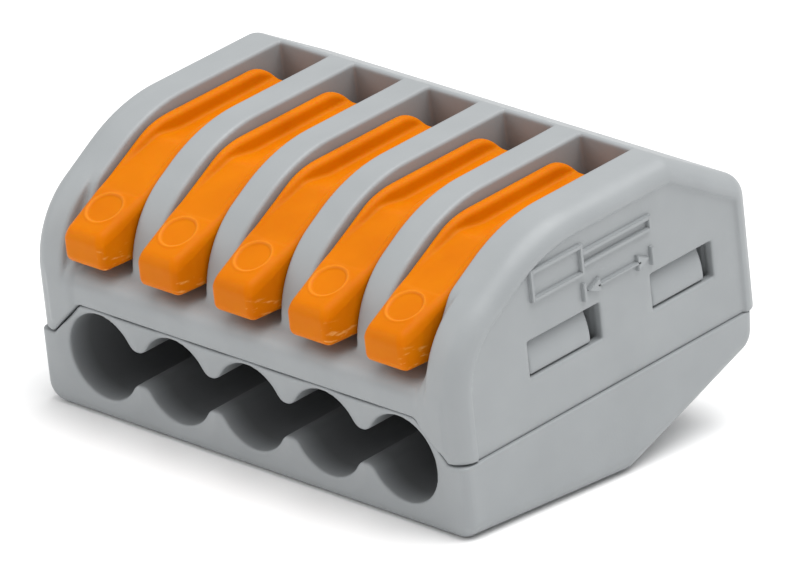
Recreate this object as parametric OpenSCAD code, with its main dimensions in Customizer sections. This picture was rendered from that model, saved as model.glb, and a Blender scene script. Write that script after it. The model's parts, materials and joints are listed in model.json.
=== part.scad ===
// Five-pole lever wire connector: a two-shell housing, five tilting levers,
// five cage-clamp springs and one common busbar.
// Base frame: X across the poles, +Y away from the wire entries, +Z up, base on z = 0.
// Parting frame: the same X, tilted about it so that its XY plane is the joint of the two shells.

/* [Housing] */
// Distance between neighbouring wire entries
pitch = 5; // [4.8:0.1:5.4]
// Thickness of the side plates outside the outermost lever slots
plate_t = 2.5; // [2.2:0.1:2.6]
// Width of each lever slot
slot_w = 3.4; // [3.3:0.1:3.6]
// Angle between the base and the parting plane
tilt = 5.5; // [4:0.5:6]
// Height of the parting plane above the base, at the front face
part_z = 3.8; // [3.6:0.05:4.1]
// Depth of the cover along the parting plane
cover_d = 20.8; // [20:0.1:21.5]
// Height of the cover's flat top above the parting plane
cover_h = 9.75; // [9.7:0.05:10]
// Radius where the upright front of the side plates turns into their slope
front_r = 5; // [4:0.1:5.4]
// Slope of the side plates between their front and their flat top, in degrees
shoulder_deg = 30.3; // [28:0.1:33]
// Radius where the slope of the side plates turns into their flat top
crown_r = 9; // [7:0.1:10]
// Distance from the front face to the highest edge
peak_y = 15.7; // [15.3:0.1:16]
// Slope of the top surface behind the highest edge, in degrees
bevel_deg = 31.5; // [28:0.5:33]
// Radius of the vertical front corners
corner_r = 0.8; // [0.5:0.1:1.2]

/* [Wire entries] */
// Radius of each wire entry
bore_r = 2.25; // [2.1:0.01:2.35]
// Depth of the wire axis below the parting plane, which it runs along
wire_drop = 0.55; // [0.5:0.05:0.65]
// Depth of the round guide for the insulation
bore_d = 8; // [7:0.1:8.2]
// Radius of the inner guide for the bare conductor
strand_r = 1.4; // [1.2:0.05:1.5]
// Depth to which neighbouring entries are open to each other
band_d = 4.4; // [3.5:0.1:5]
// Height of the open band between neighbouring entries
band_h = 1.8; // [1.6:0.1:2]

/* [Levers] */
// Width of the lever body
lever_w = 3.1; // [2.9:0.05:3.2]
// Width of the lever head
head_w = 2.7; // [2.4:0.05:2.9]
// Pivot distance behind the front face
pivot_y = 12; // [11.8:0.1:12.2]
// Pivot height above the parting plane
pivot_z = 7.1; // [7:0.1:7.2]
// Radius of the lever's trunnions
trunnion_r = 1; // [0.8:0.05:1.1]
// Cam radius that faces the spring when the lever is closed
cam_low = 1.25; // [1.2:0.05:1.4]
// Cam radius that faces the spring when the lever is open
cam_high = 2.95; // [2.7:0.05:3]

/* [Contacts] */
// Thickness of the spring strip
strip_t = 0.35; // [0.3:0.01:0.4]
// Width of the spring strip
spring_w = 3.1; // [2.8:0.05:3.2]
// Width of the clamping window in the spring
window_w = 2; // [1.8:0.05:2.1]
// Thickness of the busbar
bar_t = 0.9; // [0.7:0.05:1]
// Width of each busbar tongue
tongue_w = 1.7; // [1.5:0.05:1.8]

/* [Hidden] */
$fn = 64;
poles = 5;
gap = 0.05;
eps = 0.02;
half_w = (poles - 1) / 2 * pitch + slot_w / 2 + plate_t;
rib_t = pitch - slot_w;
pole_x = [for (i = [0 : poles - 1]) (i - (poles - 1) / 2) * pitch];
rib_x = [for (i = [0 : poles - 2]) pole_x[i] + pitch / 2];

// Lever head, in the parting frame
head_y = -0.35;
head_z = 4.4;
head_len = 2.6;
lever_top = 9.2;
// Groove along the top of a lever
channel_w = 1.6;
channel_front = 5;
channel_z = 8.45;
// Round mark sunk into the sloped top of the head
mark_r = 1.05;
mark_d = 0.06;
mark_at = [1.29, 6.9];
mark_slope = 23.5;
// How far each trunnion reaches into its bearing
trunnion_d = 0.45;
// Front-most point of the lever heads and rear-most point of the cover, in the base frame
front_end = head_y * cos(tilt) - 5.3 * sin(tilt);
rear_end = cover_d * cos(tilt) + 0.3 * sin(tilt);
mid_y = (front_end + rear_end) / 2;

// Cover
// Height at which the slope would meet the front face
shoulder_z = 5.95;
// How far the ribs stand back from the front face and below the flat top
rib_back = 1.15;
rib_drop = 0.05;
pocket_rear = 15.55;
ledge_rear = 8.5;
rear_r = 1.3;
lip = 0.3;
peak_r = 0.9;
// Depth of the trunnion bearings in the walls of each slot
bearing_d = 0.5;
// Profile of the ledge behind its rounded front edge
ledge_top = [[1.4, 3.75], [2.6, 4], [ledge_rear, 4.1]];
// Entry block of the lower shell
block_top = 1.95;
block_top_x = 11.2;
block_side_x = 13.2;
block_d = 8.2;
// Width of the slot that joins neighbouring entries, wide enough to meet both bores
band_w = 1.2;
// How far the conductor guide lies below the middle of the insulation guide
strand_drop = 0.75;
// Spring chamber, in the base frame
cell_front = 8.6;
cell_rear = 18.6;
cell_top = 11.05;
cell_floor = 1.15;
cell_w = slot_w - 0.1;
cell_slope = [12.8, 3.65];
cell_chamfer = 1.2;
// Underside of the lower shell, in the base frame
base_front = 0.35;
flat_end = 11.7;
shell_rear = 20.2;
bevel_top = 3.75;
base_r = 0.4;
// Bevel along the lower side edges, measured on each face
side_bevel = 0.7;
// Latch windows and hooks, in the parting frame
windows = [[5.16, 10.14], [13.67, 17.95]];
window_z = [2.62, 4.51];
window_skin = 0.75;
arm_t = 0.85;
hook_out = 0.5;
hook_share = 0.86;
hook_land = 0.35;
hook_h = 1.7;
// Contacts, in the base frame
bar_z = 4.6;
bar_y = [11.2, 15];
tongue_front = 9.3;
loop_c = [15.9, 8.1];
loop_r = 2.25;
leg_y = 9.1;
top_front_z = 10.2;
bend_r = 0.9;
window_low = 4.45;
leg_tip = 3.55;

// Points of an arc from angle a0 to a1, in degrees
function arc(c, r, a0, a1, n = 12) =
    [for (i = [0 : n]) let (a = a0 + (a1 - a0) * i / n) [c[0] + r * cos(a), c[1] + r * sin(a)]];

// Base frame, y measured from the front face
module base_frame() translate([0, -mid_y, 0]) children();
// Parting frame, y along the joint of the shells and z square to it
module part_frame() translate([0, -mid_y, part_z]) rotate([tilt, 0, 0]) children();
// A side profile drawn as (y, z), extruded along X from x0 to x1
module across(x0, x1) translate([x0, 0, 0]) rotate([90, 0, 90]) linear_extrude(x1 - x0) children();

// Front and top of an outline that starts upright at y = back, takes the plates' slope and ends flat at z = top
function brow(back, top) = let (
        corner_z = shoulder_z + back * tan(shoulder_deg) - (cover_h - top),
        front_c = [back + front_r, corner_z - front_r * tan((90 - shoulder_deg) / 2)],
        crown_c = [back + (top - corner_z) / tan(shoulder_deg) + crown_r * tan(shoulder_deg / 2),
                   top - crown_r])
    concat(arc(front_c, front_r, 180, 90 + shoulder_deg, 16),
           arc(crown_c, crown_r, 90 + shoulder_deg, 90, 10));

// Outline of the side plates and of the rear block
bevel_end = cover_h - (cover_d - peak_y) * tan(bevel_deg);
module cover_outline() {
    inset = rear_r * tan((90 - bevel_deg) / 2);
    polygon(concat(
        [[0, 0]],
        brow(0, cover_h),
        arc([peak_y - peak_r * tan(bevel_deg / 2), cover_h - peak_r], peak_r, 90, 90 - bevel_deg, 4),
        arc([cover_d - rear_r, bevel_end - inset], rear_r, 90 - bevel_deg, 0, 8),
        [[cover_d, -lip], [cover_d - 0.35, -lip], [cover_d - 0.35, 0]]));
}

// Outline of the ribs between the levers
module rib_outline() {
    polygon(concat(
        [[rib_back, 0]],
        brow(rib_back, cover_h - rib_drop),
        [[pocket_rear + 0.1, cover_h - rib_drop], [pocket_rear + 0.1, 0]]));
}

// Front ledge under the lever heads
module ledge_outline() {
    polygon(concat(
        [[0, block_top - 1]],
        arc([0.45, 2.85], 0.45, 180, 115, 4),
        ledge_top,
        [[ledge_rear, block_top - 1]]));
}

// Plan of both shells with rounded vertical front corners
module plan() {
    polygon(concat(
        arc([-half_w + corner_r, corner_r], corner_r, 180, 270, 6),
        arc([half_w - corner_r, corner_r], corner_r, 270, 360, 6),
        [[half_w, cover_d + 1], [-half_w, cover_d + 1]]));
}

// Trapezoid front of the entry block, grown by d
module block_section(d) {
    polygon([[-block_side_x - d, -1], [-block_side_x - d, 0], [-block_top_x - d, block_top + d],
             [block_top_x + d, block_top + d], [block_side_x + d, 0], [block_side_x + d, -1]]);
}
module entry_block(d, y0, y1) {
    translate([0, y1, 0]) rotate([90, 0, 0]) linear_extrude(y1 - y0) block_section(d);
}

// Chamber of one pole, in the base frame
module cell(x) {
    base_frame() across(x - cell_w / 2, x + cell_w / 2)
        polygon([[cell_front, cell_floor], [cell_slope[0], cell_floor], [cell_rear, cell_slope[1]],
                 [cell_rear, cell_top - cell_chamfer], [cell_rear - cell_chamfer, cell_top],
                 [cell_front, cell_top]]);
}

// Slot for the busbar through the ribs
module bar_slot() {
    base_frame() translate([-half_w + 1, bar_y[0] - gap, bar_z - gap])
        cube([2 * half_w - 2, bar_y[1] - bar_y[0] + 2 * gap, bar_t + 2 * gap]);
}

module latch_slots() {
    for (s = [-1, 1]) for (w = windows) {
        // pocket that the latch arm slides up into
        part_frame() translate([s * (half_w - window_skin - (arm_t + 2 * gap) / 2), (w[0] + w[1]) / 2, -1])
            translate([-(arm_t + 2 * gap) / 2, -(w[1] - w[0]) / 2, 0])
            cube([arm_t + 2 * gap, w[1] - w[0], window_z[1] + 1]);
        // window through the outer skin
        part_frame() translate([s > 0 ? half_w - window_skin - eps : -half_w - 1, w[0], window_z[0]])
            cube([window_skin + 1 + eps, w[1] - w[0], window_z[1] - window_z[0]]);
    }
}

// Bearings for the trunnions, open downward so that the levers go in from below
module bearings() {
    part_frame() for (x = pole_x) {
        translate([x - slot_w / 2 - bearing_d, pivot_y, pivot_z]) rotate([0, 90, 0])
            cylinder(h = slot_w + 2 * bearing_d, r = trunnion_r + gap);
        translate([x - slot_w / 2 - bearing_d, pivot_y - trunnion_r - gap, -0.5])
            cube([slot_w + 2 * bearing_d, 2 * (trunnion_r + gap), pivot_z + 0.5]);
    }
}

module upper_housing() {
    color([0.68, 0.69, 0.7]) difference() {
        intersection() {
            union() {
                part_frame() for (s = [-1, 1])
                    across(s > 0 ? half_w - plate_t : -half_w, s > 0 ? half_w : -half_w + plate_t)
                        cover_outline();
                part_frame() for (x = rib_x) across(x - rib_t / 2, x + rib_t / 2) rib_outline();
                part_frame() intersection() {
                    across(-half_w + 1, half_w - 1) cover_outline();
                    translate([-half_w, pocket_rear, -1]) cube([2 * half_w, 10, 20]);
                }
                part_frame() across(-half_w + 1, half_w - 1) ledge_outline();
            }
            part_frame() translate([0, 0, -1]) linear_extrude(20) plan();
        }
        part_frame() entry_block(gap, -1, block_d + gap);
        for (x = pole_x) cell(x);
        bearings();
        bar_slot();
        latch_slots();
    }
}

// Underside profile of the lower shell, in the base frame
module shell_outline() {
    rise = tan(tilt);
    polygon(concat(
        [[0, part_z]],
        arc([base_front + base_r, base_r], base_r, 180, 270, 6),
        [[flat_end, 0]],
        arc([shell_rear - 1, bevel_top + 0.55], 1, 295, 360, 5),
        [[shell_rear, part_z + shell_rear * rise - 0.02]]));
}

// What the bevels take off the lower side edges, along the flat bottom and then up the rear slope
module side_bevels() {
    rear_lean = atan2(bevel_top, shell_rear - flat_end);
    base_frame() for (side = [0, 1], run = [[-2, flat_end + 2, 0, 0], [0, 12, flat_end, rear_lean]])
        mirror([side, 0, 0]) translate([half_w - side_bevel, run[2], 0])
            rotate([run[3], 0, 0]) rotate([0, 45, 0])
                translate([0, run[0], -3]) cube([3, run[1], 6]);
}

module lower_housing() {
    color([0.66, 0.67, 0.68]) difference() {
        union() {
            intersection() {
                union() {
                    base_frame() across(-half_w, half_w) shell_outline();
                    part_frame() entry_block(0, 0, block_d);
                }
                part_frame() translate([0, 0, -6]) linear_extrude(12) plan();
            }
            latch_arms();
        }
        side_bevels();
        for (x = pole_x) wire_entry(x);
        for (x = rib_x) part_frame()
            translate([x - band_w / 2, -1, -wire_drop - band_h / 2]) cube([band_w, band_d + 1, band_h]);
        for (x = pole_x) cell(x);
        bar_slot();
    }
}

// Round insulation guide and the narrower conductor guide behind it
module wire_entry(x) {
    part_frame() translate([x, -1, -wire_drop]) rotate([-90, 0, 0]) {
        cylinder(h = bore_d + 1, r = bore_r);
        translate([0, strand_drop, 0]) cylinder(h = cell_front + 2, r = strand_r);
    }
}

// Latch arms of the lower shell that reach up to the cover's windows
module latch_arms() {
    for (s = [-1, 1]) for (w = windows) {
        len = (w[1] - w[0]) * hook_share;
        out_x = half_w - window_skin - gap;
        part_frame() mirror([s < 0 ? 1 : 0, 0, 0]) {
            translate([out_x - arm_t, w[0] + gap, -0.5]) cube([arm_t, len, window_z[1] + 0.4]);
            translate([out_x - eps, w[0] + len + gap, window_z[0] + gap]) rotate([90, 0, 0])
                linear_extrude(len)
                polygon([[0, 0], [hook_out, 0], [hook_out, hook_land], [0.1, hook_h], [0, hook_h]]);
        }
    }
}

// Side profile of a lever, in the parting frame, closed
module lever_outline() {
    low = pivot_z - cam_low;
    polygon(concat(
        [[head_len, head_z], [head_len + 1.2, low], [pivot_y + 0.4, low]],
        arc([pivot_y + cam_high - 0.5, pivot_z - 0.7], 0.5, -70, 0, 3),
        [[pivot_y + cam_high, pivot_z + 0.6]],
        arc([pivot_y + 0.35, pivot_z], lever_top - pivot_z + 0.05, 35, 90, 6),
        [[7.4, lever_top], [5.9, 8.98], [3.4, 7.7]],
        arc([head_y + 0.6, 5.5], 0.6, 115, 180, 4),
        arc([head_y + 0.3, head_z + 0.3], 0.3, 180, 270, 3)));
}

module lever(x) {
    color([0.93, 0.5, 0.1]) part_frame() difference() {
        union() {
            intersection() {
                across(x - lever_w / 2, x + lever_w / 2) lever_outline();
                translate([x, 0, 0]) linear_extrude(20) polygon([
                    [-head_w / 2 + 0.3, head_y], [head_w / 2 - 0.3, head_y], [head_w / 2, head_y + 0.3],
                    [head_w / 2, 2.2], [lever_w / 2, 3.2], [lever_w / 2, 16],
                    [-lever_w / 2, 16], [-lever_w / 2, 3.2], [-head_w / 2, 2.2],
                    [-head_w / 2, head_y + 0.3]]);
            }
            translate([x - slot_w / 2 - trunnion_d, pivot_y, pivot_z]) rotate([0, 90, 0])
                cylinder(h = slot_w + 2 * trunnion_d, r = trunnion_r);
        }
        translate([x - channel_w / 2, channel_front, channel_z]) cube([channel_w, 12, 3]);
        translate([x, mark_at[0], mark_at[1]]) rotate([mark_slope, 0, 0])
            translate([0, 0, -mark_d]) cylinder(h = 1, r = mark_r);
    }
}
module lever_1() lever(pole_x[0]);
module lever_2() lever(pole_x[1]);
module lever_3() lever(pole_x[2]);
module lever_4() lever(pole_x[3]);
module lever_5() lever(pole_x[4]);

// Centre line of the spring strip, drawn as outer and inner offset outlines
module strip_outline() {
    o = strip_t / 2;
    foot_z = bar_z + bar_t + eps + o;
    top_rear_z = loop_c[1] + loop_r;
    lean = atan2(top_rear_z - top_front_z, loop_c[0] - (leg_y + bend_r));
    function side(d) = concat(
        [[10, foot_z - d]],
        arc([loop_c[0], foot_z + loop_r], loop_r + d, -90, 0, 8),
        arc([loop_c[0], top_rear_z - loop_r], loop_r + d, 0, 90 + lean, 8),
        arc([leg_y + bend_r, top_front_z - bend_r], bend_r + d, 90 + lean, 180, 6),
        [[leg_y - d, leg_tip]]);
    outer = side(o);
    inner = side(-o);
    polygon(concat(outer, [for (i = [len(inner) - 1 : -1 : 0]) inner[i]]));
}

module clamp_spring(x) {
    color([0.75, 0.75, 0.77]) base_frame() difference() {
        across(x - spring_w / 2, x + spring_w / 2) strip_outline();
        translate([x - window_w / 2, leg_y - 1, window_low]) cube([window_w, 2, 2.4]);
    }
}
module clamp_spring_1() clamp_spring(pole_x[0]);
module clamp_spring_2() clamp_spring(pole_x[1]);
module clamp_spring_3() clamp_spring(pole_x[2]);
module clamp_spring_4() clamp_spring(pole_x[3]);
module clamp_spring_5() clamp_spring(pole_x[4]);

module busbar() {
    bar_len = (poles - 1) * pitch + slot_w - 0.2;
    color([0.82, 0.8, 0.76]) base_frame() {
        translate([-bar_len / 2, bar_y[0], bar_z]) cube([bar_len, bar_y[1] - bar_y[0], bar_t]);
        for (x = pole_x) translate([x - tongue_w / 2, tongue_front, bar_z])
            cube([tongue_w, bar_y[0] - tongue_front + eps, bar_t]);
    }
}

upper_housing();
lower_housing();
lever_1();
lever_2();
lever_3();
lever_4();
lever_5();
clamp_spring_1();
clamp_spring_2();
clamp_spring_3();
clamp_spring_4();
clamp_spring_5();
busbar();
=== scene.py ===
"""Looks of the five-pole lever wire connector.

Every piece is a moulded or stamped solid. Each is written as a signed distance in millimetres, with its
edges rounded as they join, and meshed where that distance is zero. Two frames are used. The base frame has
y from the front face and z from the base. The parting frame has the same x, with v along the joint of the
two shells and w square to it.
"""

import json
import math

import bmesh
import bpy
import numpy as np
from mathutils import Matrix, Vector

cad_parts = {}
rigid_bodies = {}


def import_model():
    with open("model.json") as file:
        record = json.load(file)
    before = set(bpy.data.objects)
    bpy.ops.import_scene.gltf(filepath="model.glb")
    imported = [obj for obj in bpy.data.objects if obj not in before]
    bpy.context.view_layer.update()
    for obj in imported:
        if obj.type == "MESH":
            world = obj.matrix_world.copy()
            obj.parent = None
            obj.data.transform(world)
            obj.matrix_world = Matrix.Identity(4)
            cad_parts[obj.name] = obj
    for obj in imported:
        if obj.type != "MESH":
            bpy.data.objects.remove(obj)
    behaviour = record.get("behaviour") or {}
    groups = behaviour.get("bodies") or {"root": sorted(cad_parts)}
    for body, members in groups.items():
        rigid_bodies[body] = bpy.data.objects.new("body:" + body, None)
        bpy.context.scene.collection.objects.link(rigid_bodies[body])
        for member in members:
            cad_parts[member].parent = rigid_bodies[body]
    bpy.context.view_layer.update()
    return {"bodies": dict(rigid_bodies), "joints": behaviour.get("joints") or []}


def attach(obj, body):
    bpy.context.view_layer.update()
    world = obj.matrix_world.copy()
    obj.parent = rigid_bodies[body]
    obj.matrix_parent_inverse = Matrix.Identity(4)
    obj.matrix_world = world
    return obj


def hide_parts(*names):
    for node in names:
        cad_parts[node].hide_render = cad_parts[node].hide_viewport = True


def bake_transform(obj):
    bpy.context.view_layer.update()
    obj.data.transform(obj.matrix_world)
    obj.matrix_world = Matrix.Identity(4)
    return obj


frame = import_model()

MM = 0.001
MARGIN_STEPS = 2.3
joints = {j["name"]: j for j in frame["joints"]}
poles = [n for n in frame["bodies"] if n.startswith("lever_")]
POLE_X = [joints[f"{p}_hinge"]["pos_m"][0] / MM for p in poles]

# The joint of the shells is tilted and starts PART_Z up the front. The springs bend about LOOP. That is where
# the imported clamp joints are, so it places the base frame in the row frame.
TILT = math.radians(5.5)
PART_Z = 3.8
LOOP_Y, LOOP_Z = 15.9, 8.1
MID_Y = LOOP_Y - joints["clamp_1_flex"]["pos_m"][1] / MM

# Both shells, in the parting frame
PITCH = 5.0
OUTER_POLE = 2 * PITCH
HALF_W = 14.2
GAP = 0.05
WINDOWS = [(5.16, 10.14), (13.67, 17.95)]
WINDOW_W = (2.62, 4.51)
SKIN, ARM_T = 0.75, 0.85
BLOCK_TOP, BLOCK_TOP_X, BLOCK_SIDE_X, BLOCK_D = 1.95, 11.2, 13.2, 8.2
PIVOT = (12.0, 7.1)
TRUNNION_R = 1.0

# Cover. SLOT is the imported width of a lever's slot, which the sockets and chambers follow. The slots here are
# MOUTH wide, a little closer to the levers.
SLOT, MOUTH = 3.4, 3.24
SLOT_FLOOR, SLOT_EDGE_R = 1.2, 0.2
PLATE_T = 2.5
PLATE_R, PLATE_OUT = 1.1, 0.04
COVER_D, COVER_H = 20.8, 9.75
FRONT_R, CROWN_R = 5.0, 9.0
SHOULDER_W, SHOULDER = 5.95, math.tan(math.radians(30.3))
BEVEL = math.tan(math.radians(31.5))
PEAK_V = 15.7
RIB_BACK, RIB_DROP = 1.15, 0.02
POCKET_REAR = 15.55
LEDGE_REAR, LEDGE_HALF = 8.5, HALF_W - 1.2
CELL_HALF = SLOT / 2 - 0.05
SOCKET = 0.5
PANEL_RIM, PANEL_STEP, PANEL_SINK = 1.05, 0.12, 0.16
STROKE_ROOT, STROKE_RISE, STROKE_TAPER, STROKE_R = 0.2, 0.2, 0.05, 0.03

# Base
BASE_D = 20.2
SIDE_R, REAR_R, FRONT_EDGE_R = 1.0, 0.6, 0.55
BLOCK_PLAY = 0.03
BORE_R, BORE_W, BORE_D = 2.25, -0.55, 8.0
STRAND_R, STRAND_W, STRAND_D = 1.4, -1.3, 9.6
DISH_R, DISH_D = 3.1, 0.14
BAND_D, BAND_H, CUSP_R = 4.4, 1.8, 0.3
HOOK_SHARE, HOOK_OUT, HOOK_BACK = 0.86, 0.52, 0.38

# Levers, in the parting frame. Each list of pairs gives a height or a half width at each v
LEVER_TOP = 9.2
RIDGE = [(-0.4, 6.15), (3.05, 7.54), (6.3, LEVER_TOP)]
LEVER_R = 0.3
CAM_LOW, CAM_HIGH = 1.25, 2.8
HALF_AT_SIDE = [(-0.4, 1.28), (1, 1.43), (2.4, 1.54), (2.9, 1.56)]
HALF_AT_TOP = [(-0.4, 1.1), (1, 1.24), (2.2, 1.38), (2.7, 1.4), (4.5, 1.44), (7.5, 1.56)]
CHANNEL_HALF = [(3.2, 1.2), (7.5, 0.8)]
CHANNEL_W, CHANNEL_FLARE = 8.5, 0.15
DRAFT = 0.344
HOLLOW_HALF, HOLLOW_V, HOLLOW_TOP = 0.95, (4.4, 10.4), 6.9
STUB = 0.45
MARK = (1.42, 6.92)
MARK_R, MARK_LEAN = 0.96, math.radians(21.5)
MARK_SINK, RING_RISE, RING_HALF = 0.06, 0.07, 0.08

# Contacts, in the base frame
BAR_Y, BAR_Z, BAR_T, BAR_X = (11.2, 15.0), 4.6, 0.9, 11.6
BAR_SLOT_X = 13
TONGUE_Y, TONGUE_HALF = 9.3, 0.85
STRIP_T, STRIP_HALF = 0.35, 1.55
LOOP_R = 2.25
LEG_Y, LEG_TIP = 9.1, 3.55
TOP_FRONT_Z, BEND_R = 10.2, 0.9
FOOT_Z = BAR_Z + BAR_T + 0.02 + STRIP_T / 2
CLAMP_WINDOW = (1.0, (4.45, 6.85))
FOOT_FRONT = 10.0


def rounded(corners, step=math.radians(4)):
    """Points of a closed outline whose corners (u, v, r) are rounded to radius r."""
    points = []
    before, after = corners[-1:] + corners[:-1], corners[1:] + corners[:1]
    for (au, av, _), (bu, bv, r), (cu, cv, _) in zip(before, corners, after):
        if not r:
            points.append((bu, bv))
            continue
        a, b, c = Vector((au, av)), Vector((bu, bv)), Vector((cu, cv))
        d0, d1 = (a - b).normalized(), (c - b).normalized()
        turn = math.pi - d0.angle(d1)
        reach = r * math.tan(turn / 2)
        centre = b + (d0 + d1).normalized() * math.hypot(r, reach)
        first, last = b + d0 * reach - centre, b + d1 * reach - centre
        a0 = math.atan2(first.y, first.x)
        sweep = (math.atan2(last.y, last.x) - a0 + math.pi) % (2 * math.pi) - math.pi
        n = max(2, math.ceil(abs(sweep) / step))
        for i in range(n + 1):
            t = a0 + sweep * i / n
            points.append((centre.x + r * math.cos(t), centre.y + r * math.sin(t)))
    return points


def polygon(points, u, v):
    """Signed distance from (u, v) to a closed outline, negative inside."""
    shape = np.broadcast(u, v).shape
    best = np.full(shape, 1e9)
    inside = np.zeros(shape, bool)
    for (au, av), (bu, bv) in zip(points, points[1:] + points[:1]):
        eu, ev = bu - au, bv - av
        length = eu * eu + ev * ev
        if length < 1e-12:
            continue
        pu, pv = u - au, v - av
        t = np.clip((pu * eu + pv * ev) / length, 0, 1)
        best = np.minimum(best, (pu - eu * t) ** 2 + (pv - ev * t) ** 2)
        if ev:
            inside ^= ((av > v) != (bv > v)) & (pu < eu / ev * pv)
    return (np.where(inside, -1, 1) * np.sqrt(best)).astype(np.float32)


def path(points, u, v):
    """Distance from (u, v) to an open line of points."""
    best = np.full(np.broadcast(u, v).shape, 1e9)
    for (au, av), (bu, bv) in zip(points, points[1:]):
        eu, ev = bu - au, bv - av
        pu, pv = u - au, v - av
        t = np.clip((pu * eu + pv * ev) / (eu * eu + ev * ev), 0, 1)
        best = np.minimum(best, (pu - eu * t) ** 2 + (pv - ev * t) ** 2)
    return np.sqrt(best).astype(np.float32)


def both(a, b, r=0.0):
    """What is in a and in b, with the edge between them rounded to r."""
    if not r:
        return np.maximum(a, b)
    return np.hypot(np.maximum(a + r, 0), np.maximum(b + r, 0)) + np.minimum(np.maximum(a, b), -r)


def either(a, b, r=0.0):
    """What is in a or b, with the corner between them filled to r."""
    return -both(-a, -b, r)


def cut(a, b, r=0.0):
    """What is in a and not in b, with the edge between them rounded to r."""
    return both(a, -b, r)


def box(limits, *axes):
    """A box: one (low, high) pair for each axis array, None for an open side."""
    out = None
    for (low, high), a in zip(limits, axes):
        for d in ([] if low is None else [low - a]) + ([] if high is None else [a - high]):
            out = d if out is None else np.maximum(out, d)
    return out


def surface_net(f, lo, step):
    """Vertices and quads where the samples f, spaced step from lo, change sign."""
    s = (f < 0).astype(np.uint8)
    corners = [(i, j, k) for i in (0, 1) for j in (0, 1) for k in (0, 1)]
    ni, nj, nk = [n - 1 for n in s.shape]
    count = sum(s[i : ni + i, j : nj + j, k : nk + k] for i, j, k in corners)
    cells = np.argwhere((count > 0) & (count < 8)).astype(np.int32)
    index = np.full(count.shape, -1, np.int32)
    index[tuple(cells.T)] = np.arange(len(cells), dtype=np.int32)
    total, hits = np.zeros((len(cells), 3)), np.zeros(len(cells))
    for axis in range(3):
        unit = np.eye(3, dtype=np.int32)[axis]
        for c in corners:
            if c[axis]:
                continue
            p = cells + np.array(c, np.int32)
            q = p + unit
            fp, fq = f[tuple(p.T)], f[tuple(q.T)]
            cross = (fp < 0) != (fq < 0)
            t = fp[cross] / (fp[cross] - fq[cross])
            total[cross] += p[cross] + t[:, None] * unit
            hits[cross] += 1
    points = total / hits[:, None]
    quads = []
    for axis in range(3):
        u, v = [np.eye(3, dtype=np.int32)[a] for a in ((axis + 1) % 3, (axis + 2) % 3)]
        low = [slice(1, -1)] * 3
        low[axis] = slice(0, -1)
        high = list(low)
        high[axis] = slice(1, None)
        a, b = s[tuple(low)], s[tuple(high)]
        for flip in (False, True):
            e = np.argwhere((a < b) if flip else (a > b)).astype(np.int32)
            e[:, (axis + 1) % 3] += 1
            e[:, (axis + 2) % 3] += 1
            ring = [e, e - u, e - u - v, e - v]
            quad = np.stack([index[tuple(r.T)] for r in ring], axis=1)
            quads.append(quad[:, ::-1] if flip else quad)
    return settle(f, points) * step + lo, np.concatenate(quads)


def settle(f, points):
    """Moves each point, in grid steps, onto the zero of f by two steps down its gradient."""
    def sample(p):
        i = np.clip(np.floor(p).astype(np.int32), 0, np.array(f.shape) - 2)
        t = p - i
        out = 0
        for c in [(a, b, d) for a in (0, 1) for b in (0, 1) for d in (0, 1)]:
            weight = np.prod([t[:, k] if c[k] else 1 - t[:, k] for k in range(3)], axis=0)
            out = out + weight * f[i[:, 0] + c[0], i[:, 1] + c[1], i[:, 2] + c[2]]
        return out

    start = points
    for _ in range(2):
        slope = np.stack([sample(points + d) - sample(points - d) for d in np.eye(3) * 0.5], axis=1)
        size = np.maximum((slope**2).sum(1, keepdims=True), 1e-6)
        points = points - np.clip(sample(points)[:, None] * slope / size, -0.5, 0.5)
        points = np.clip(points, start - 0.6, start + 0.6)
    return points


def mesh_of(name, shape, lo, hi, step, keep, turned=True):
    """A mesh, in metres in the row frame, of a shape(x, y, z) in the base frame, with keep of its faces left.

    The samples, and so lo and hi, are lined up with the parting frame if turned.
    """
    lo, hi = np.array(lo, float) - MARGIN_STEPS * step, np.array(hi, float) + MARGIN_STEPS * step
    counts = np.ceil((hi - lo) / step).astype(int) + 1
    x, y, z = [lo[a] + step * np.arange(counts[a]) for a in range(3)]
    c, s = math.cos(TILT), math.sin(TILT)
    y, z = y[None, :, None], z[None, None, :]
    f = shape(x[:, None, None], *((y * c - z * s, y * s + z * c + PART_Z) if turned else (y, z)))
    f = np.broadcast_to(f, counts).astype(np.float32)
    points, quads = surface_net(f, lo, step)
    if turned:
        points = points @ np.array([(1, 0, 0), (0, c, s), (0, -s, c)]) + (0, 0, PART_Z)
    points = (points - (0, MID_Y, 0)) * MM
    mesh = bpy.data.meshes.new(name)
    mesh.vertices.add(len(points))
    mesh.vertices.foreach_set("co", points.astype(np.float32).ravel())
    mesh.loops.add(quads.size)
    mesh.loops.foreach_set("vertex_index", quads.astype(np.int32).ravel())
    mesh.polygons.add(len(quads))
    mesh.polygons.foreach_set("loop_start", np.arange(0, quads.size, 4, dtype=np.int32))
    mesh.polygons.foreach_set("loop_total", np.full(len(quads), 4, np.int32))
    mesh.update(calc_edges=True)
    mesh.validate()
    o = bpy.data.objects.new(name, mesh)
    bpy.context.scene.collection.objects.link(o)
    thin = o.modifiers.new("thin", "DECIMATE")
    thin.ratio = keep
    smooth = o.modifiers.new("smooth", "WEIGHTED_NORMAL")
    smooth.keep_sharp = False
    dg = bpy.context.evaluated_depsgraph_get()
    done = bpy.data.meshes.new_from_object(o.evaluated_get(dg), preserve_all_data_layers=True, depsgraph=dg)
    bpy.data.objects.remove(o)
    bpy.data.meshes.remove(mesh)
    done.name = name
    done.polygons.foreach_set("use_smooth", np.ones(len(done.polygons), bool))
    done.update()
    print(name, len(quads), "quads", len(done.polygons), "faces kept")
    return done


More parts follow.
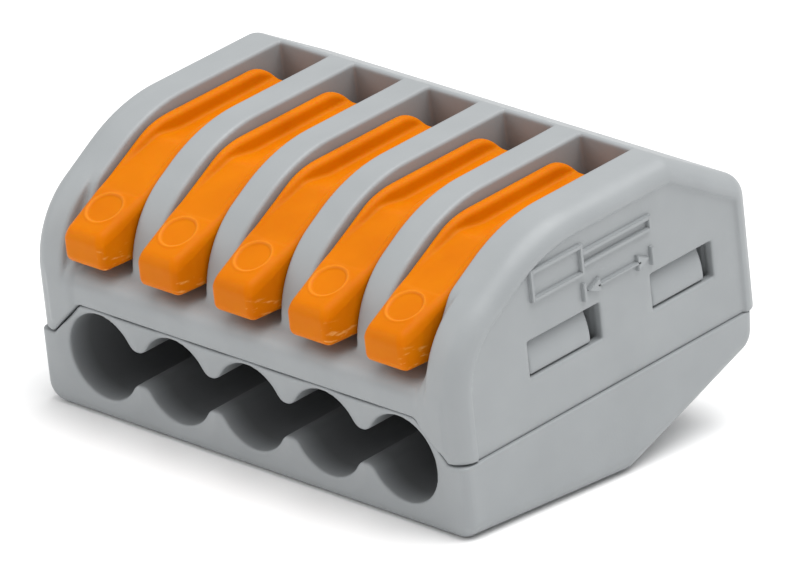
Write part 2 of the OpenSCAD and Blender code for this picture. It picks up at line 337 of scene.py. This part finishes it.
def parting(y, z):
    """Parting-frame v and w of a base-frame point."""
    c, s = math.cos(TILT), math.sin(TILT)
    return y * c + (z - PART_Z) * s, (z - PART_Z) * c - y * s


def poles_of(x):
    """Distance across from the nearest pole's middle, and from the next one on that side, if there is one."""
    near = np.clip(PITCH * np.round(x / PITCH), -OUTER_POLE, OUTER_POLE)
    off = np.abs(x - near)
    far_off = 99.0
    return off, np.where(np.abs(x) < OUTER_POLE, PITCH - off, far_off)


def brow(back, top):
    """Corners of a side profile's front and top: upright at v = back, then up the plates' slope to top."""
    low = SHOULDER_W + back * SHOULDER - (COVER_H - top)
    return [(back, -2, 0), (back, low, FRONT_R), (back + (top - low) / SHOULDER, top, CROWN_R)]


FINE = math.radians(2)
TAIL = [(PEAK_V, COVER_H, 0.9), (COVER_D, COVER_H - (COVER_D - PEAK_V) * BEVEL, 1.3), (COVER_D, -2, 0)]
COVER = rounded(brow(0, COVER_H) + TAIL, FINE)
RIB = rounded(brow(RIB_BACK, COVER_H - RIB_DROP) + [(14.6, COVER_H - RIB_DROP, 3)] + TAIL, FINE)
LEDGE = rounded([
    (0, 0.8, 0), (0, 3.55, 0.9), (2.6, 4.0, 1), (LEDGE_REAR, 4.1, 0), (LEDGE_REAR, 0.8, 0),
])
CELL = rounded([
    (8.6, 1.15, 0), (12.8, 1.15, 0), (18.6, 3.65, 0), (18.6, 11.05, 1.2), (8.6, 11.05, 0),
])
UNDER = rounded([
    (-3, 0, 0), (11.7, 0, 1.5), (28.7, 7.5, 0), (28.7, 12, 0), (-3, 12, 0),
])
LEVER = rounded([
    (-0.37, 4.4, 0.5), (-0.37, 6.19, 0.75), (3.05, 7.54, 4), (6.3, LEVER_TOP, 5), (13.9, LEVER_TOP, 1.6),
    (PIVOT[0] + CAM_HIGH, 7.6, 0.8), (PIVOT[0] + CAM_HIGH, PIVOT[1] - CAM_LOW, 1.0),
    (3.7, PIVOT[1] - CAM_LOW, 1.2), (2.7, 4.4, 0.9),
])
CHANNEL = rounded([
    (2.6, 9.5, 0), (2.6, 7.42, 0), (6.1, 8.6, 1.2), (7.6, 8.42, 2), (17, 8.5, 0), (17, 11, 0), (2.6, 11, 0),
])


def trapezoid(ax, w, grow):
    """Front of the entry block, drawn across x and w, and larger all round by grow."""
    run, rise = BLOCK_SIDE_X - BLOCK_TOP_X, BLOCK_TOP
    length = math.hypot(run, rise)
    side = ((ax - BLOCK_SIDE_X) * rise + w * run) / length
    return both(w - BLOCK_TOP, side, 0.12) - grow


def housing_cuts(x, y, z, off):
    """Spring chambers and the busbar's slot, which both shells share."""
    cells = np.maximum(off - CELL_HALF, polygon(CELL, y, z))
    bar_y, bar_z = (BAR_Y[0] - GAP, BAR_Y[1] + GAP), (BAR_Z - GAP, BAR_Z + BAR_T + GAP)
    bar = box([(-BAR_SLOT_X, BAR_SLOT_X), bar_y, bar_z], x, y, z)
    return np.minimum(cells, bar)


def plate_relief(ax, v, w):
    """A shallow relief in the plates' inner faces beside the lever heads. Its rear edge leans back."""
    deep, rear, height, lean = 0.38, 3.0, 8.0, 0.62
    curl = np.clip((v - 2.3) * 0.5 + (7.6 - w) * 0.28, -0.4, 0)
    limits = [(None, HALF_W - PLATE_T + deep), (None, rear), (SLOT_FLOOR, None)]
    return np.where(ax > OUTER_POLE, box(limits, ax, v + (height - w) * lean + curl, w), 1.0)


def corner_lift(ax, v):
    """How far the joint stands open at the cover's two front corners."""
    lift, side, depth, fade = 0.09, 12.9, 1.3, 0.4
    return lift * np.clip((ax - side) / fade, 0, 1) * np.clip((depth - v) / fade, 0, 1)


def upper_shape(x, y, z):
    """The cover: plates and ribs over a ledge, cut for the levers, the entry block and the latches."""
    v, w = parting(y, z)
    off, _ = poles_of(x)
    ax = np.abs(x)
    outline = polygon(COVER, v, w)
    sunk = PANEL_SINK * np.clip((-outline - PANEL_RIM) / PANEL_STEP, 0, 1)
    plates = np.maximum(both(ax - HALF_W - PLATE_OUT, outline, PLATE_R), ax - HALF_W + sunk)
    ribs = np.minimum(polygon(RIB, v, w), np.maximum(outline, POCKET_REAR - v))
    body = np.where(ax > OUTER_POLE, plates, ribs)
    slots = box([(None, MOUTH / 2), (None, POCKET_REAR), (SLOT_FLOOR, None)], off, v, w)
    body = cut(body, slots, SLOT_EDGE_R)
    body = cut(body, plate_relief(ax, v, w), 0.22)
    body = either(body, np.maximum(polygon(LEDGE, v, w), ax - LEDGE_HALF), 0.35)
    body = cut(body, np.maximum(trapezoid(ax, w, GAP), v - BLOCK_D - GAP), 0.05)
    body = both(body, corner_lift(ax, v) - w, 0.03)
    for low, high in WINDOWS:
        arm = (HALF_W - SKIN - ARM_T - GAP, HALF_W - SKIN)
        inner = box([arm, (low, high), (None, WINDOW_W[1])], ax, v, w)
        outer = box([(HALF_W - SKIN - GAP, None), (low, high), WINDOW_W], ax, v, w)
        body = cut(cut(body, inner), outer, 0.1)
    reach = TRUNNION_R + GAP
    pin = np.hypot(v - PIVOT[0], w - PIVOT[1]) - reach
    pin = np.minimum(pin, box([(PIVOT[0] - reach, PIVOT[0] + reach), (None, PIVOT[1])], v, w))
    body = cut(body, np.maximum(pin, off - SLOT / 2 - SOCKET))
    return cut(body, housing_cuts(x, y, z, off))


def latches(ax, v, w):
    """The base's latch arms, each with a hook that shows in its window and falls back as it rises."""
    out = HALF_W - SKIN - GAP
    root, arm_gap, hook_gap = -0.5, 0.1, 0.08
    fall = np.clip((w - WINDOW_W[0] - 0.3) / 1.5, 0, 1)
    face = ax - out - HOOK_OUT + HOOK_BACK * fall**2
    nearest = np.inf
    for low, high in WINDOWS:
        span = (low + GAP, low + GAP + (high - low) * HOOK_SHARE)
        arm = box([(out - ARM_T, out), span, (root, WINDOW_W[1] - arm_gap)], ax, v, w)
        hook = box([(out - 0.1, None), span, (WINDOW_W[0] + GAP, WINDOW_W[1] - hook_gap)], ax, v, w)
        nearest = np.minimum(nearest, np.minimum(arm, both(hook, face, 0.2)))
    return nearest


def lower_shape(x, y, z):
    """The base: sloped underside, entry block, latches, and the wire entries joined by a band."""
    v, w = parting(y, z)
    off, nxt = poles_of(x)
    ax = np.abs(x)
    body = both(ax - HALF_W, polygon(UNDER, y, z), SIDE_R)
    body = both(both(body, y - BASE_D, REAR_R), -v, FRONT_EDGE_R)
    block = np.maximum(np.maximum(v - BLOCK_D, trapezoid(ax, w, -BLOCK_PLAY)), -w - 1)
    body = np.where(w > -0.5, both(body, np.minimum(w, np.maximum(block, -v)), 0.05), body)
    body = np.minimum(body, latches(ax, v, w))
    from_bore = np.minimum(np.hypot(off, w - BORE_W), np.hypot(nxt, w - BORE_W))
    fall = np.clip((DISH_R - from_bore) / (DISH_R - BORE_R), 0, 1)
    body = np.maximum(body, DISH_D * fall**1.5 * (1.6 - 0.6 * fall) - v)
    holes = np.maximum(from_bore - BORE_R, v - BORE_D)
    band = box([(None, OUTER_POLE), (None, BAND_D), (BORE_W - BAND_H / 2, BORE_W + BAND_H / 2)], ax, v, w)
    body = cut(body, either(holes, band, CUSP_R), 0.08)
    strand = np.maximum(np.hypot(off, w - STRAND_W) - STRAND_R, v - STRAND_D)
    body = cut(body, np.maximum(strand, -v))
    return cut(body, housing_cuts(x, y, z, off))


def level(v, pairs):
    """The value at v, straight between the (v, value) pairs."""
    return np.interp(v, *zip(*pairs))


def lever_shape(x, y, z):
    """A lever at x = 0, closed: a tapered bar with a channel, a round mark, a cam and trunnions."""
    v, w = parting(y, z)
    ax = np.abs(x)
    half = level(v, HALF_AT_TOP) + np.maximum(level(v, RIDGE) - w, 0) * DRAFT
    nearer = 0.95  # the drafted side leans, so it is nearer than it is straight across
    side = (ax - np.minimum(level(v, HALF_AT_SIDE), half)) * nearer
    body = both(polygon(LEVER, v, w), side, LEVER_R)
    wall = ax - level(v, CHANNEL_HALF) - CHANNEL_FLARE * np.clip(w - CHANNEL_W, 0, 1)
    body = cut(body, both(polygon(CHANNEL, v, w), wall, 0.2), 0.24)
    body = cut(body, box([(None, HOLLOW_HALF), HOLLOW_V, (None, HOLLOW_TOP)], ax, v, w), 0.2)
    c, s = math.cos(MARK_LEAN), math.sin(MARK_LEAN)
    along = (v - MARK[0]) * c + (w - MARK[1]) * s
    above = (w - MARK[1]) * c - (v - MARK[0]) * s
    ring = np.hypot(along, ax) - MARK_R
    dip = MARK_SINK * np.clip(0.5 - ring / 0.1, 0, 1) - RING_RISE * np.exp(-((ring / RING_HALF) ** 2))
    body = body + np.where(above > -0.8, dip, 0)
    pin = both(np.hypot(v - PIVOT[0], w - PIVOT[1]) - TRUNNION_R, ax - SLOT / 2 - STUB, 0.12)
    return either(body, pin, 0.1)


def strip_path():
    """Middle lines of a clamp spring: its straight foot, and the arch from there to the tip of the leg."""
    foot = [(FOOT_FRONT, FOOT_Z), (LOOP_Y, FOOT_Z)]
    top = LOOP_Z + LOOP_R
    lean = math.atan2(top - TOP_FRONT_Z, LOOP_Y - LEG_Y - BEND_R)

    def arc(cy, cz, r, a0, a1, n=16):
        return [(cy + r * math.cos(a0 + (a1 - a0) * i / n), cz + r * math.sin(a0 + (a1 - a0) * i / n))
                for i in range(n + 1)]

    q = math.pi / 2
    arch = arc(LOOP_Y, FOOT_Z + LOOP_R, LOOP_R, -q, 0) + arc(LOOP_Y, top - LOOP_R, LOOP_R, 0, q + lean)
    arch += arc(LEG_Y + BEND_R, TOP_FRONT_Z - BEND_R, BEND_R, q + lean, 2 * q) + [(LEG_Y, LEG_TIP)]
    return foot, arch


FOOT_LINE, ARCH_LINE = strip_path()


def strip_shape(line):
    """The shape of a strip along line, with the clamping window cut through its leg."""
    def shape(x, y, z):
        ax = np.abs(x)
        body = both(path(line, y, z) - STRIP_T / 2, ax - STRIP_HALF, 0.06)
        half, (low, high) = CLAMP_WINDOW
        return cut(body, box([(None, half), (None, LEG_Y + 0.8), (low, high)], ax, y, z), 0.06)
    return shape


def strokes():
    """Outlines, in the parting frame, of a stripped wire over the arrow that says how much to strip."""
    sheath_v, bare_v, tip_v = 5.7, 9.1, 13.8
    mid, line, t = 7.2, 5.5, 0.15
    sheath, wire, tick = 0.7, 0.3, 0.5
    tip, barb, flare = 0.2, 1.1, 0.45

    def bar(v0, v1, w0, w1):
        return [(v0, w0), (v1, w0), (v1, w1), (v0, w1)]

    def frame_of(v0, v1, w0, w1):
        return [bar(v0, v1, w0 - t, w0 + t), bar(v0, v1, w1 - t, w1 + t),
                bar(v0 - t, v0 + t, w0 - t, w1 + t), bar(v1 - t, v1 + t, w0 - t, w1 + t)]

    shapes = frame_of(sheath_v, bare_v, mid - sheath, mid + sheath)
    shapes += [bar(bare_v, tip_v, mid + k - t, mid + k + t) for k in (-wire, wire)]
    shapes += [bar(tip_v - t, tip_v + t, mid - wire - t, mid + wire + t)]
    shapes += [bar(v - t, v + t, line - tick, line + tick) for v in (bare_v, tip_v)]
    shapes += [bar(bare_v + 0.8, tip_v - 0.8, line - 0.12, line + 0.12)]
    for v, s in ((bare_v, 1), (tip_v, -1)):
        root = v + s * barb
        shapes.append([(v + s * tip, line), (root, line - s * flare), (root, line + s * flare)])
    return shapes


def side_marks(side):
    """The strokes as low raised bars on one side panel, side being 1 or -1."""
    c, s = math.cos(TILT), math.sin(TILT)
    bm = bmesh.new()
    for outline in strokes():
        floor, top = [], []
        centre = np.mean(outline, axis=0)
        for v, w in outline:
            for ring, out, shrink in ((floor, -STROKE_ROOT, 0), (top, STROKE_RISE, STROKE_TAPER)):
                lean = np.array((v, w)) - centre
                a, b = centre + lean - shrink * np.sign(np.round(lean, 3))
                ring.append(bm.verts.new((
                    side * (HALF_W - PANEL_SINK + out) * MM, (a * c - b * s - MID_Y) * MM,
                    (a * s + b * c + PART_Z) * MM)))
        bm.faces.new(top)
        bm.faces.new(floor[::-1])
        for i in range(len(top)):
            j = (i + 1) % len(top)
            bm.faces.new((floor[i], floor[j], top[j], top[i]))
    bmesh.ops.recalc_face_normals(bm, faces=bm.faces)
    bmesh.ops.bevel(bm, geom=bm.edges[:], offset=STROKE_R * MM, segments=2, affect="EDGES")
    mesh = bpy.data.meshes.new("marks")
    bm.to_mesh(mesh)
    bm.free()
    return mesh


def busbar_shape(x, y, z):
    """The flat bar and its five tongues."""
    off, _ = poles_of(x)
    bar = box([(-BAR_X, BAR_X), BAR_Y], x, y)
    tongue = box([(None, TONGUE_HALF), (TONGUE_Y, BAR_Y[0] + 1)], off, y)
    return both(either(bar, tongue, 0.3), np.abs(z - BAR_Z - BAR_T / 2) - BAR_T / 2, 0.12)


def material(name, colour, rough, metal=0.0):
    """A Principled material and its shader."""
    m = bpy.data.materials.new(name)
    m.use_nodes = True
    b = m.node_tree.nodes["Principled BSDF"]
    b.inputs["Base Color"].default_value = (*colour, 1)
    b.inputs["Roughness"].default_value = rough
    b.inputs["Metallic"].default_value = metal
    return m, b


# What a noise texture mostly spans
FAINT, STRONG = 0.3, 0.7


def noise(tree, scale, detail=2.0, stretch=(1, 1, 1)):
    """A noise texture in the object's own coordinates, scale being features per millimetre."""
    place = tree.nodes.new("ShaderNodeTexCoord")
    mapping = tree.nodes.new("ShaderNodeMapping")
    mapping.inputs["Scale"].default_value = [scale / MM * k for k in stretch]
    texture = tree.nodes.new("ShaderNodeTexNoise")
    texture.inputs["Scale"].default_value = 1
    texture.inputs["Detail"].default_value = detail
    tree.links.new(place.outputs["Object"], mapping.inputs["Vector"])
    tree.links.new(mapping.outputs["Vector"], texture.inputs["Vector"])
    return texture.outputs["Fac"]


def spread(tree, value, low, high, out_low=0.0, out_high=1.0):
    """A value stretched from one range onto another."""
    node = tree.nodes.new("ShaderNodeMapRange")
    for key, number in zip(("From Min", "From Max", "To Min", "To Max"), (low, high, out_low, out_high)):
        node.inputs[key].default_value = number
    tree.links.new(value, node.inputs["Value"])
    return node.outputs["Result"]


def mixed(tree, share, first, second):
    """Two colours, or a socket and a colour, mixed by share."""
    node = tree.nodes.new("ShaderNodeMix")
    node.data_type = "RGBA"
    tree.links.new(share, node.inputs["Factor"])
    for key, colour in (("A", first), ("B", second)):
        socket = next(i for i in node.inputs if i.name == key and i.type == "RGBA")
        if isinstance(colour, tuple):
            socket.default_value = (*colour, 1)
        else:
            tree.links.new(colour, socket)
    return next(o for o in node.outputs if o.type == "RGBA")


def math_node(tree, operation, first, second=0.0):
    """One Math node on sockets or numbers."""
    node = tree.nodes.new("ShaderNodeMath")
    node.operation = operation
    for socket, value in zip(node.inputs, (first, second)):
        if isinstance(value, (int, float)):
            socket.default_value = value
        else:
            tree.links.new(value, socket)
    return node.outputs["Value"]


def bumped(tree, shader, height, depth, strength=1.0, under=None):
    """Height as bumps, depth in millimetres, on top of the bumps in under."""
    node = tree.nodes.new("ShaderNodeBump")
    node.inputs["Strength"].default_value = strength
    node.inputs["Distance"].default_value = depth * MM
    tree.links.new(height, node.inputs["Height"])
    if under:
        tree.links.new(under, node.inputs["Normal"])
    tree.links.new(node.outputs["Normal"], shader.inputs["Normal"])
    return node.outputs["Normal"]


def moulded(name, colour, shade, rough, grain, specular):
    """Moulded plastic: faint clouding in the colour, a slow ripple and a fine grain from the mould."""
    m, b = material(name, colour, rough)
    b.inputs["Specular IOR Level"].default_value = specular
    t = m.node_tree
    cloud = spread(t, noise(t, 0.35, 3), FAINT, STRONG)
    t.links.new(mixed(t, cloud, colour, shade), b.inputs["Base Color"])
    worn = spread(t, noise(t, 0.9, 4), FAINT, STRONG, rough - 0.05, rough + 0.06)
    t.links.new(worn, b.inputs["Roughness"])
    ripple = bumped(t, b, noise(t, 0.5, 1), 0.02, 0.5)
    bumped(t, b, noise(t, 9, 3), grain, 0.6, ripple)
    return m, b


def grey_plastic(name, colour, shade):
    """The shells' plastic."""
    return moulded(name, colour, shade, rough=0.44, grain=0.006, specular=0.42)


def in_frame(tree):
    """Sockets, in metres, for x, x folded onto the nearest pole, v and w."""
    place = tree.nodes.new("ShaderNodeTexCoord")
    turned = tree.nodes.new("ShaderNodeMapping")
    turned.vector_type = "TEXTURE"
    turned.inputs["Location"].default_value = (0, -MID_Y * MM, PART_Z * MM)
    turned.inputs["Rotation"].default_value = (TILT, 0, 0)
    parts = tree.nodes.new("ShaderNodeSeparateXYZ")
    tree.links.new(place.outputs["Object"], turned.inputs["Vector"])
    tree.links.new(turned.outputs["Vector"], parts.inputs["Vector"])
    half = PITCH / 2
    moved = math_node(tree, "ADD", parts.outputs["X"], (OUTER_POLE + half) * MM)
    off = math_node(tree, "SUBTRACT", math_node(tree, "MODULO", moved, PITCH * MM), half * MM)
    return parts.outputs["X"], off, parts.outputs["Y"], parts.outputs["Z"]


def product(tree, first, *others):
    """Sockets or numbers multiplied together."""
    for other in others:
        first = math_node(tree, "MULTIPLY", first, other)
    return first


def tinted(tree, shader, share, colour):
    """Lays colour over the shader's own, by share."""
    base = shader.inputs["Base Color"].links[0].from_socket
    tree.links.new(mixed(tree, share, base, colour), shader.inputs["Base Color"])


def base_plastic():
    """The base's grey, with painted shade inside the wire entries: darker from the mouth inward."""
    m, b = grey_plastic("base_grey", (0.285, 0.3, 0.309), (0.268, 0.283, 0.291))
    t = m.node_tree
    x, _, v, w = in_frame(t)
    reach = BORE_R + 0.04
    rise = math_node(t, "ABSOLUTE", math_node(t, "SUBTRACT", w, BORE_W * MM))
    beside = math_node(t, "LESS_THAN", rise, reach * MM)
    between = math_node(t, "LESS_THAN", math_node(t, "ABSOLUTE", x), (OUTER_POLE + reach) * MM)
    depth = spread(t, v, 0.1 * MM, 1.5 * MM)
    ahead = math_node(t, "LESS_THAN", v, 12 * MM)
    # Painted shade: the colour inside each wire entry darkens with depth, standing in for the shade deep in the
    # bores.
    tinted(t, b, product(t, beside, between, depth, ahead), (0.13, 0.135, 0.14))
    return m


def scuffs(tree):
    """Share of scuffing: flecks along the lower right of each lever's head."""
    place = tree.nodes.new("ShaderNodeTexCoord")
    parts = tree.nodes.new("ShaderNodeSeparateXYZ")
    tree.links.new(place.outputs["Object"], parts.inputs["Vector"])
    _, off, _, _ = in_frame(tree)
    right = spread(tree, off, 0.95 * MM, 1.15 * MM)
    front = spread(tree, parts.outputs["Y"], (1.7 - MID_Y) * MM, (0.4 - MID_Y) * MM)
    low = spread(tree, parts.outputs["Z"], (PART_Z + 5.9) * MM, (PART_Z + 5.1) * MM)
    flecks = spread(tree, noise(tree, 3.2, 4, (1, 0.35, 1.6)), 0.56, 0.74)
    return product(tree, right, front, low, flecks)


def mark_rim(tree):
    """Share of the lighter edge on the ring of each lever's round mark."""
    _, off, v, w = in_frame(tree)
    v = math_node(tree, "SUBTRACT", v, MARK[0] * MM)
    w = math_node(tree, "SUBTRACT", w, MARK[1] * MM)
    c, s = math.cos(MARK_LEAN), math.sin(MARK_LEAN)
    along = math_node(tree, "ADD", product(tree, v, c), product(tree, w, s))
    above = math_node(tree, "ADD", product(tree, w, c), product(tree, v, -s))
    squares = [math_node(tree, "POWER", side, 2.0) for side in (along, off)]
    radius = math_node(tree, "SQRT", math_node(tree, "ADD", *squares))
    away = math_node(tree, "SUBTRACT", radius, MARK_R * MM)
    rim = spread(tree, math_node(tree, "ABSOLUTE", away), 0.1 * MM, 0.03 * MM)
    on_top = math_node(tree, "GREATER_THAN", above, -0.5 * MM)
    strength = 0.35
    return product(tree, rim, on_top, strength)


def orange_plastic():
    """Orange lever plastic, a little translucent."""
    m, b = moulded("orange_plastic", (0.58, 0.157, 0.0), (0.53, 0.135, 0.0), 0.42, 0.003, 0.06)
    b.inputs["Subsurface Weight"].default_value = 0.25
    b.inputs["Subsurface Radius"].default_value = (1.0, 0.22, 0.03)
    b.inputs["Subsurface Scale"].default_value = 0.9 * MM
    t = m.node_tree
    tinted(t, b, scuffs(t), (0.72, 0.36, 0.1))
    tinted(t, b, mark_rim(t), (0.74, 0.27, 0.03))
    return m


def sheet_metal(name, colour, rough, stretch):
    """Rolled strip: fine lines along the rolling direction."""
    m, b = material(name, colour, rough, 1.0)
    t = m.node_tree
    lines = noise(t, 6, 3, stretch)
    t.links.new(spread(t, lines, FAINT, STRONG, rough - 0.08, rough + 0.1), b.inputs["Roughness"])
    t.links.new(mixed(t, noise(t, 0.8, 3), colour, tuple(0.86 * k for k in colour)), b.inputs["Base Color"])
    bumped(t, b, lines, 0.004, 0.5)
    return m


COVER_GREY, _ = grey_plastic("cover_grey", (0.29, 0.305, 0.313), (0.273, 0.288, 0.296))
BASE_GREY = base_plastic()
ORANGE = orange_plastic()
STEEL = sheet_metal("spring_steel", (0.62, 0.62, 0.64), 0.28, (1, 0.08, 0.08))
TIN = sheet_metal("tinned_copper", (0.66, 0.65, 0.62), 0.38, (0.08, 1, 1))


def piece(name, mesh, node, mat, body=None):
    """A finished piece that stands for a CAD node, and rides on body if that is given."""
    o = bpy.data.objects.new(name, mesh)
    bpy.context.scene.collection.objects.link(o)
    mesh.materials.clear()
    mesh.materials.append(mat)
    if body:
        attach(o, body)
    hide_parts(node)
    return o


def shifted(mesh, name, x):
    """A copy of a mesh moved x millimetres across."""
    copy = mesh.copy()
    copy.name = name
    copy.transform(Matrix.Translation((x * MM, 0, 0)))
    return copy


cover = mesh_of("cover", upper_shape, (-HALF_W, 0, 0), (HALF_W, COVER_D, COVER_H), 0.1, 0.3)
piece("cover", cover, "upper_housing", COVER_GREY, "housing")
base = mesh_of("base", lower_shape, (-HALF_W, 0, -5.3), (HALF_W, 21, 6.2), 0.1, 0.3)
piece("base", base, "lower_housing", BASE_GREY, "housing")
for side, tag in ((1, "right"), (-1, "left")):
    piece(f"strip_guide_{tag}", side_marks(side), "upper_housing", COVER_GREY, "housing")
bar_lo, bar_hi = (-BAR_X, TONGUE_Y, BAR_Z), (BAR_X, BAR_Y[1], BAR_Z + BAR_T)
bar = mesh_of("busbar", busbar_shape, bar_lo, bar_hi, 0.08, 0.15, False)
piece("common_bar", bar, "busbar", TIN, "housing")

lever = mesh_of("lever", lever_shape, (-2.2, -0.4, 4.4), (2.2, 15, LEVER_TOP), 0.06, 0.14)
foot_lo = (-STRIP_HALF, FOOT_FRONT - STRIP_T, FOOT_Z - STRIP_T)
foot_hi = (STRIP_HALF, LOOP_Y + STRIP_T, FOOT_Z + STRIP_T)
foot = mesh_of("foot", strip_shape(FOOT_LINE), foot_lo, foot_hi, 0.06, 0.3, False)
arch_lo = (-STRIP_HALF, LEG_Y - STRIP_T, LEG_TIP - STRIP_T)
arch_hi = (STRIP_HALF, LOOP_Y + LOOP_R + STRIP_T, LOOP_Z + LOOP_R + STRIP_T)
arch = mesh_of("arch", strip_shape(ARCH_LINE), arch_lo, arch_hi, 0.06, 0.3, False)

for number, x in enumerate(POLE_X, 1):
    name = f"lever_{number}"
    piece(f"{name}_body", shifted(lever, name, x), name, ORANGE, name)
    spring = f"clamp_spring_{number}"
    flat, bent = shifted(foot, f"foot_{number}", x), shifted(arch, f"arch_{number}", x)
    piece(f"clamp_foot_{number}", flat, spring, STEEL, "housing")
    bend = piece(f"clamp_arch_{number}", bent, spring, STEEL)
    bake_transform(bend)
for spare in (lever, foot, arch):
    bpy.data.meshes.remove(spare)


# Stage
def stage_floor():
    """A plain pale floor, far wider than the view."""
    half = 3.0
    mesh = bpy.data.meshes.new("floor")
    corners = [(-half, -half, 0), (half, -half, 0), (half, half, 0), (-half, half, 0)]
    mesh.from_pydata(corners, [], [(0, 1, 2, 3)])
    o = bpy.data.objects.new("floor", mesh)
    bpy.context.scene.collection.objects.link(o)
    mesh.materials.append(material("floor", (0.93, 0.93, 0.93), 0.8)[0])


stage_floor()

# Camera: the photographed angle, far off with a long lens
AZIMUTH, ELEVATION, ROLL = math.radians(44.795), math.radians(21.606), math.radians(-2.01)
TARGET = Vector((0.554, 0.0195, 6.379)) * MM
DISTANCE = 516.97 * MM
LENS = 485.75

cam = bpy.data.objects.new("camera", bpy.data.cameras.new("camera"))
bpy.context.scene.collection.objects.link(cam)
bpy.context.scene.camera = cam
flat = math.cos(ELEVATION)
back = Vector((math.sin(AZIMUTH) * flat, -math.cos(AZIMUTH) * flat, math.sin(ELEVATION)))
cam.rotation_mode = "QUATERNION"
turn = (-back).to_track_quat("-Z", "Y").to_matrix().to_4x4() @ Matrix.Rotation(ROLL, 4, "Z")
cam.matrix_world = Matrix.Translation(TARGET + back * DISTANCE) @ turn
cam.data.lens = LENS
cam.data.sensor_width = 36
cam.data.clip_start, cam.data.clip_end = 0.05, 10


def area_light(name, place, size, watts, target=(0, 0, 0.006)):
    """A rectangular light at place, aimed at target."""
    data = bpy.data.lights.new(name, "AREA")
    data.shape = "RECTANGLE"
    data.size, data.size_y = size
    data.energy = watts
    o = bpy.data.objects.new(name, data)
    bpy.context.scene.collection.objects.link(o)
    o.location = place
    aim = Vector(target) - Vector(place)
    o.rotation_euler = aim.to_track_quat("-Z", "Y").to_euler()


area_light("top", (0.12, 0.08, 0.5), (0.45, 0.45), 3.2)
area_light("left", (-0.4, -0.45, 0.3), (0.4, 0.4), 0.85)

world = bpy.data.worlds.new("world")
bpy.context.scene.world = world
world.use_nodes = True
sky = world.node_tree.nodes["Background"]
sky.inputs["Color"].default_value = (1, 1, 1, 1)
sky.inputs["Strength"].default_value = 0.66
bpy.context.scene.view_settings.view_transform = "Standard"
